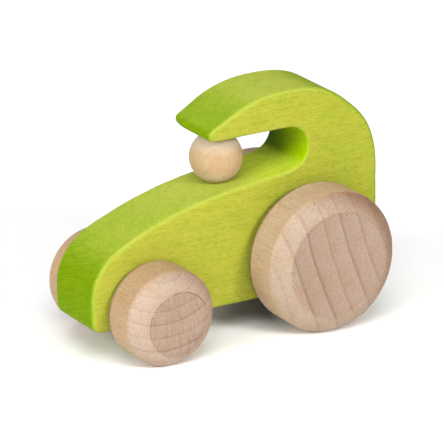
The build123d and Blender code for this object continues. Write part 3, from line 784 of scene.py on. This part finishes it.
def natural_wood(
    name, colours, along, pith, spacing, first_ring, seed,
    rays=0.3, rings=1.0, coarse=0.6, tail_shade=0.0, torn=0.0,
):
    """Bare wood.

    rays, rings and coarse say how strongly the rays, rings and pores show; torn says how rough the
    turning was, and the tail shade weight how much painted shade darkens the bevel where it faces the
    tail. Only a turned wheel has these two, with its flat faces marked.
    """
    graph = Graph(name)
    wood = grain(graph, along, pith, spacing, seed, first_ring)
    end = wood["end"]
    side_wood, slant_wood, end_wood = colours
    flat = graph.ramp(end, 0.91, 0.98)
    if torn:
        flat = graph.node("Attribute", attribute_name="face").outputs["Fac"]
    pale = graph.ramp(end, 0.25, 0.70)
    if along == 2:
        # on the head, the darker lower end is painted shade, and the paler crown is partly paler
        # slanting fibres and partly a painted highlight
        pale = graph.math("MULTIPLY", pale, graph.ramp(wood["facing"][2], -0.9, 0.0, 0.4, 1.0))
    colour = graph.mix(pale, side_wood, slant_wood)
    colour = graph.mix(flat, colour, end_wood)
    colour = darken(graph, colour, graph.ramp(wood["blotch"], 0.36, 0.66), 0.8, RED_BLOTCH)
    colour = darken(graph, colour, graph.ramp(wood["fibres"], 0.42, 0.68), 0.35, DARK_WOOD)
    colour = darken(graph, colour, graph.ramp(wood["pores"], 0.46, 0.62), coarse, DARK_WOOD)
    late = graph.math("MULTIPLY", wood["late"], graph.ramp(end, 0.0, 0.8, 0.25 * rings, rings))
    late = graph.math("MULTIPLY", late, graph.ramp(flat, 0.0, 1.0, 0.6, 1.0))
    colour = graph.mix(late, colour, LATE_WOOD, "MULTIPLY")
    streaks = graph.math("MULTIPLY", graph.ramp(wood["rays"], 0.46, 0.60), flat)
    colour = darken(graph, colour, streaks, rays, DARK_WOOD)

    # painted shade: the bevel is darkened brown where it faces the tail, more where it also faces up
    slanted = graph.math("MULTIPLY", graph.ramp(end, 0.15, 0.45), graph.math("SUBTRACT", 1.0, flat))
    tail_facing = graph.math("MULTIPLY_ADD", wood["pores"], 0.5, wood["back"])
    tail_facing = graph.math("MULTIPLY_ADD", wood["facing"][2], 0.3, tail_facing)
    shaded_bevel = graph.math("MULTIPLY", slanted, graph.ramp(tail_facing, 0.0, 0.95))
    colour = darken(graph, colour, shaded_bevel, tail_shade, TAIL_SIDE_SHADE)

    # the fibres are torn in short dark stretches along the rim of the flat face
    rim = graph.math("MULTIPLY", graph.ramp(flat, 0.1, 0.5), graph.ramp(flat, 0.5, 0.98, 1.0, 0.0))
    tears = graph.math("MULTIPLY_ADD", wood["facing"][2], 1.5, wood["pores"])
    tears = graph.ramp(graph.math("MULTIPLY_ADD", wood["back"], -0.5, tears), 0.40, 0.65)
    colour = darken(graph, colour, graph.math("MULTIPLY", rim, tears), torn, TORN)
    height = graph.math("MULTIPLY_ADD", wood["late"], 0.5, wood["fine"])
    height = graph.math("SUBTRACT", height, wood["pores"])
    graph.set(graph.shader, "Base Color", colour)
    graph.set(graph.shader, "Roughness", graph.math("MULTIPLY_ADD", wood["fibres"], 0.20, 0.48))
    graph.set(graph.shader, "Normal", graph.bump(height, 0.00008, 0.5))
    graph.set(graph.shader, "Specular IOR Level", 0.3)
    return graph.material


# ---------------------------------------------------------------- motor materials
def metal(name, colour, dark, roughness, stretch):
    """Drawn or plated metal: streaks along or across the piece, and small stains."""
    graph = Graph(name)
    place = graph.node("TexCoord").outputs["Object"]
    stretched = graph.node("VectorMath", {0: place, 1: stretch}, operation="MULTIPLY").outputs[0]
    streaks = graph.noise(stretched, detail=4.0)
    stains = graph.noise(place, scale=350.0, detail=3.0)
    share = graph.math("MULTIPLY", graph.ramp(streaks, 0.3, 0.7), graph.ramp(stains, 0.3, 0.7, 0.4, 1.0))
    graph.set(graph.shader, "Base Color", graph.mix(share, colour, dark))
    graph.set(graph.shader, "Metallic", 1.0)
    graph.set(graph.shader, "Roughness", graph.math("MULTIPLY_ADD", streaks, 0.18, roughness))
    graph.set(graph.shader, "Normal", graph.bump(streaks, 0.00002, 0.4))
    return graph.material


def plastic(name, colour, dark, roughness):
    """Moulded plastic: a fine spark-eroded skin and slight flow marks."""
    graph = Graph(name)
    place = graph.node("TexCoord").outputs["Object"]
    flow = graph.noise(place, scale=90.0, detail=3.0, distortion=1.2)
    skin = graph.noise(place, scale=3800.0, detail=2.0)
    colour = graph.mix(graph.ramp(flow, 0.3, 0.7), colour, dark)
    colour = graph.mix(graph.math("MULTIPLY", skin, 0.25), colour, dark)
    graph.set(graph.shader, "Base Color", colour)
    graph.set(graph.shader, "Roughness", graph.math("MULTIPLY_ADD", skin, 0.16, roughness))
    graph.set(graph.shader, "Normal", graph.bump(skin, 0.00003, 0.35))
    return graph.material


def paint_node(name, material):
    """Gives a carried-over CAD node its material."""
    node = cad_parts[name]
    for slot in node.material_slots:
        slot.material = material


# ---------------------------------------------------------------- stage
FLOOR_SIZE = 8.0
AIM_HEIGHT = 0.045
WORLD_STRENGTH = 0.28
LIGHTS = {
    # name: (azimuth and elevation in degrees, distance and size in metres, power in watts)
    "front": (16, 25, 2.6, 1.4, 48.0),
    "side": (105, 27, 2.6, 0.7, 42.0),
    "top": (58, 50, 2.4, 1.4, 30.0),
    "fill": (262, 32, 2.6, 1.8, 14.0),
}


def make_floor():
    bm = bmesh.new()
    bmesh.ops.create_grid(bm, x_segments=8, y_segments=8, size=FLOOR_SIZE)
    mesh = bpy.data.meshes.new("floor")
    bm.to_mesh(mesh)
    bm.free()
    floor = bpy.data.objects.new("floor", mesh)
    bpy.context.scene.collection.objects.link(floor)
    graph = Graph("floor")
    place = graph.node("TexCoord").outputs["Object"]
    tone = graph.noise(place, scale=6.0)
    graph.set(graph.shader, "Base Color", graph.mix(tone, (0.97, 0.97, 0.97), (0.99, 0.99, 0.99)))
    graph.set(graph.shader, "Roughness", 0.9)
    graph.set(graph.shader, "Specular IOR Level", 0.1)
    mesh.materials.append(graph.material)


def area_light(name, azimuth, elevation, distance, size, power):
    """A soft light aimed at the car, placed by its direction from the car in degrees."""
    a, e = math.radians(azimuth), math.radians(elevation)
    towards = Vector((math.cos(e) * math.cos(a), math.cos(e) * math.sin(a), math.sin(e)))
    data = bpy.data.lights.new(name, "AREA")
    data.shape = "DISK"
    data.size = size
    data.energy = power
    light = bpy.data.objects.new(name, data)
    light.location = Vector((0, 0, AIM_HEIGHT)) + towards * distance
    light.rotation_euler = towards.to_track_quat("Z", "Y").to_euler()
    bpy.context.scene.collection.objects.link(light)


def make_light():
    for name, (azimuth, elevation, distance, size, power) in LIGHTS.items():
        area_light(name, azimuth, elevation, distance, size, power)
    world = bpy.data.worlds.new("studio")
    world.use_nodes = True
    background = world.node_tree.nodes["Background"]
    background.inputs[0].default_value = (1.0, 1.0, 1.0, 1)
    background.inputs[1].default_value = WORLD_STRENGTH
    bpy.context.scene.world = world
    bpy.context.scene.view_settings.view_transform = "Standard"


# ---------------------------------------------------------------- assembly
PAIRS = {
    # how each pair of wheels is turned, how strongly its wood and tool marks show, and how much painted
    # shade its bevel gets towards the tail
    "rear": {
        "body": "rear_wheelset",
        "turning": REAR_TURNING,
        "off_centre": 0.0,
        "rim_width": 3.2,
        "colours": REAR_WOOD,
        "marks_and_shade": {"rays": 0.2, "tail_shade": 1.0, "torn": 0.3},
    },
    "front": {
        "body": "front_wheelset",
        "turning": FRONT_TURNING,
        "off_centre": 1.5,
        "rim_width": 1.1,
        "colours": FRONT_WOOD,
        "marks_and_shade": {"rays": 0.55, "tail_shade": 0.5, "torn": 1.0},
    },
}
WHEELS = {
    # CAD node: (side, pith from the wheel's centre, ring spacing, first ring, seed)
    "rear_wheel_left": (1, (-183.3, 66.4), 7.5, 182.0, 2.0),
    "rear_wheel_right": (-1, (-110.0, 60.0), 6.8, 110.0, 3.0),
    "front_wheel_left": (1, (3.6, 34.3), 5.1, 29.4, 4.0),
    "front_wheel_right": (-1, (-12.0, -48.0), 4.8, 36.0, 5.0),
}


def dress_plank():
    plank = make_plank()
    plank.data.materials.clear()
    plank.data.materials.append(stained_wood())


def dress_wheels():
    for wheel, (side, pith, spacing, first_ring, seed) in WHEELS.items():
        pair = PAIRS[wheel.split("_")[0]]
        centre = node_centre(wheel) / MM
        pith = (centre.x + pith[0], centre.z + pith[1])
        piece = make_wheel(
            wheel, pair["body"], side, pair["turning"], pair["off_centre"], pair["rim_width"], seed
        )
        piece.data.materials.append(natural_wood(
            wheel + "_wood", pair["colours"], 1, pith, spacing, first_ring, seed, **pair["marks_and_shade"]
        ))


def dress_head():
    head = make_head()
    head.data.materials.append(natural_wood(
        "head_wood", BALL_WOOD_AND_HIGHLIGHT, 2, (30.0, 24.0), 2.6, 30.0, 6.0, rays=0.1, rings=0.5, coarse=0.35
    ))


def dress_dowels():
    paint_node("front_axle", natural_wood("dowel_wood", REAR_WOOD, 1, (80.0, 40.0), 2.0, 40.0, 7.0))
    paint_node("head_dowel", natural_wood("head_dowel_wood", REAR_WOOD, 2, (40.0, 30.0), 2.0, 40.0, 8.0))


def dress_motor():
    steel = metal("ground_steel", (0.62, 0.62, 0.64), (0.42, 0.42, 0.45), 0.22, (2500, 120, 2500))
    for node in ("rear_axle", "step_up_shaft", "spring_shaft", "winding_gear_pin"):
        paint_node(node, steel)
    blued = metal("blued_steel", (0.13, 0.15, 0.24), (0.07, 0.07, 0.10), 0.25, (600, 60, 600))
    paint_node("mainspring", blued)
    zinc = metal("zinc_plate", (0.66, 0.65, 0.58), (0.48, 0.46, 0.38), 0.30, (900, 900, 900))
    for node in ("case_screws", "motor_screws"):
        paint_node(node, zinc)
    case = plastic("case_plastic", (0.020, 0.021, 0.024), (0.012, 0.012, 0.014), 0.42)
    for node in ("motor_case_left", "motor_case_right"):
        paint_node(node, case)
    nylon = plastic("gear_nylon", (0.80, 0.78, 0.70), (0.72, 0.69, 0.60), 0.36)
    for node in ("axle_gear", "step_up_gear", "spring_gear", "winding_gear"):
        paint_node(node, nylon)


dress_plank()
dress_wheels()
dress_head()
dress_dowels()
dress_motor()
make_floor()
make_light()
